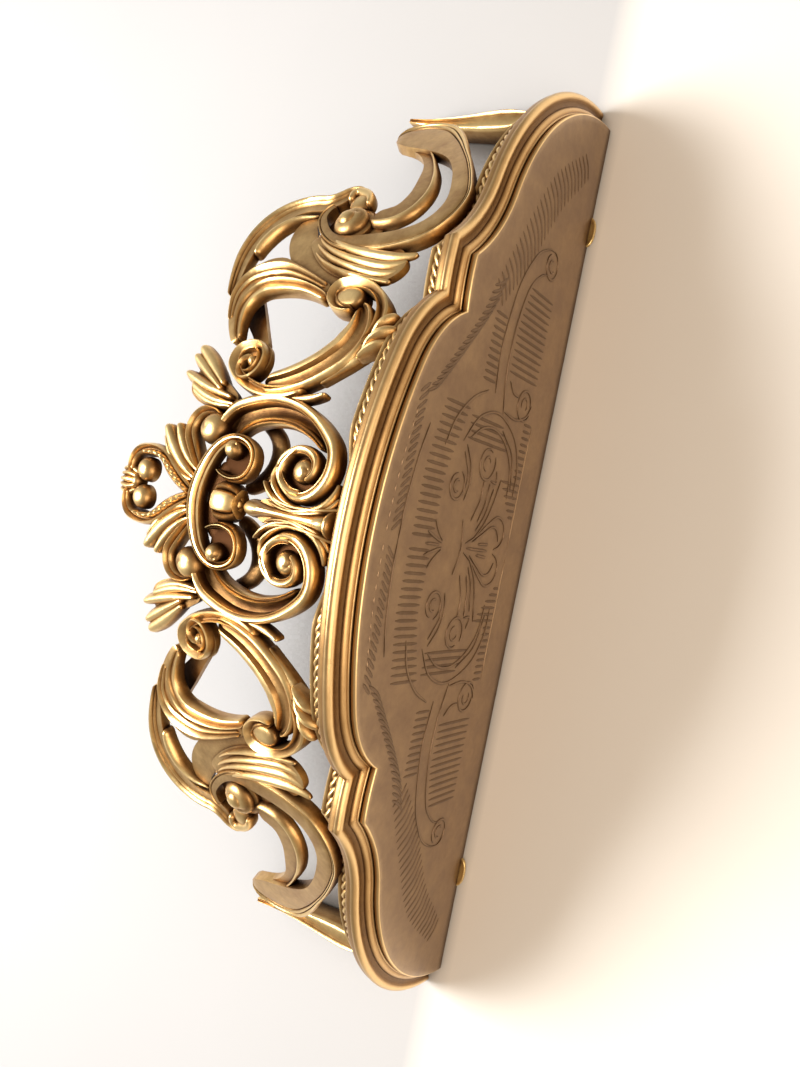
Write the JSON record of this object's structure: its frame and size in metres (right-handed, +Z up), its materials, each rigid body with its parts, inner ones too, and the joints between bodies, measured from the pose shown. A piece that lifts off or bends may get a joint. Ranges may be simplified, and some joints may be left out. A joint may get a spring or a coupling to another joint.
{
  "type": "wall console shelf",
  "caption": "Bow-fronted wall shelf with a moulded edge and an engraved top, carried by a pierced apron of scrolls and leaves in antique gold.",
  "frame": {"origin": "middle of the shelf's flat back edge, on the wall plane", "axes": "+X to the viewer's right along the wall, +Y into the wall, +Z up; the front faces -Y"},
  "size_m": [0.4452, 0.1444, 0.1661],
  "materials": {
    "gilt_top": "satin antique gold paint, darker and browner on the engraved top",
    "gilt_scroll": "satin antique gold paint, dark in the recesses and bright on the edges",
    "brass": "bright plated sheet"
  },
  "bodies": {
    "root": {"shelf_top": "gilt_top", "scroll_bracket": "gilt_scroll", "hanger_left": "brass", "hanger_right": "brass"}
  },
  "joints": []
}
